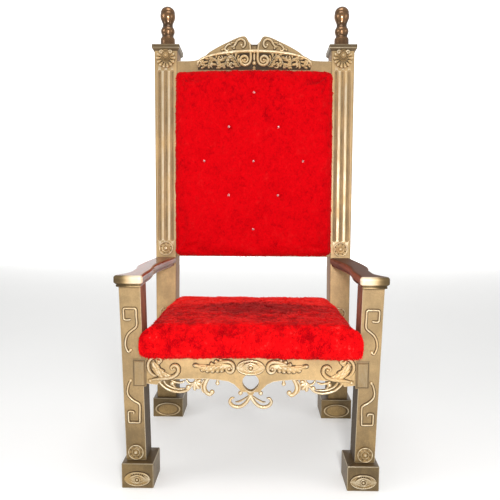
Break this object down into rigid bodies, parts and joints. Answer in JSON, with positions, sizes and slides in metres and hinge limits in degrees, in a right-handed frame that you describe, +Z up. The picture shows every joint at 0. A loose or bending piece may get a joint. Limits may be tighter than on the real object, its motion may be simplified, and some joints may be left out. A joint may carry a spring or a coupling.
{
  "type": "throne",
  "caption": "Tall carved armchair throne with square posts, turned finials, scrolled crest and apron, block feet, shaped arms, a buttoned back pad and a thick seat cushion.",
  "frame": {"origin": "on the floor, midway between the sides and midway between the front and the back of the whole throne", "axes": "+Z up, +X to the right of someone who looks at the front, the front faces -Y"},
  "size_m": [0.868, 0.7494, 1.7763],
  "materials": {
    "gold": "gold painted and rubbed carved wood, satin",
    "old_gold": "darker gold painted wood, satin",
    "brass": "bronze-brown painted turning, glossy",
    "mahogany": "polished mahogany stain, the front ends gold",
    "timber": "plain stained board",
    "plush": "crushed red plush pile",
    "crystal": "faceted clear button"
  },
  "bodies": {
    "root": {"post_cap_left": "gold", "finial_left": "brass", "shell_left": "gold", "post_rosette_left": "gold", "seat_rosette_left": "gold", "post_cap_right": "gold", "finial_right": "brass", "shell_right": "gold", "post_rosette_right": "gold", "seat_rosette_right": "gold", "back_lower_rail": "old_gold", "back_panel": "timber", "crest_rail": "gold", "crest_carving": "gold", "crest_spray_left": "gold", "crest_spray_right": "gold", "back_pad": "plush", "back_button_1": "crystal", "back_button_2": "crystal", "back_button_3": "crystal", "back_button_4": "crystal", "back_button_5": "crystal", "back_button_6": "crystal", "back_button_7": "crystal", "back_button_8": "crystal", "back_button_9": "crystal", "foot_front_left": "old_gold", "foot_rear_left": "old_gold", "foot_eye_left": "gold", "foot_boss_left": "gold", "foot_front_right": "old_gold", "foot_rear_right": "old_gold", "foot_eye_right": "gold", "foot_boss_right": "gold", "front_leg_left": "gold", "leg_scroll_upper_left": "gold", "leg_scroll_lower_left": "gold", "leg_rosette_left": "gold", "joint_block_left": "old_gold", "front_leg_right": "gold", "leg_scroll_upper_right": "gold", "leg_scroll_lower_right": "gold", "leg_rosette_right": "gold", "joint_block_right": "old_gold", "back_post_left": "gold", "back_post_right": "gold", "arm_left": "mahogany", "arm_right": "mahogany", "side_rail_left": "old_gold", "side_rail_right": "old_gold", "rear_rail": "old_gold", "seat_board": "timber", "front_apron": "gold", "apron_eye": "gold", "apron_spray_left": "gold", "apron_corner_scroll_left": "gold", "apron_spray_right": "gold", "apron_corner_scroll_right": "gold", "seat_cushion": "plush"}
  },
  "joints": []
}
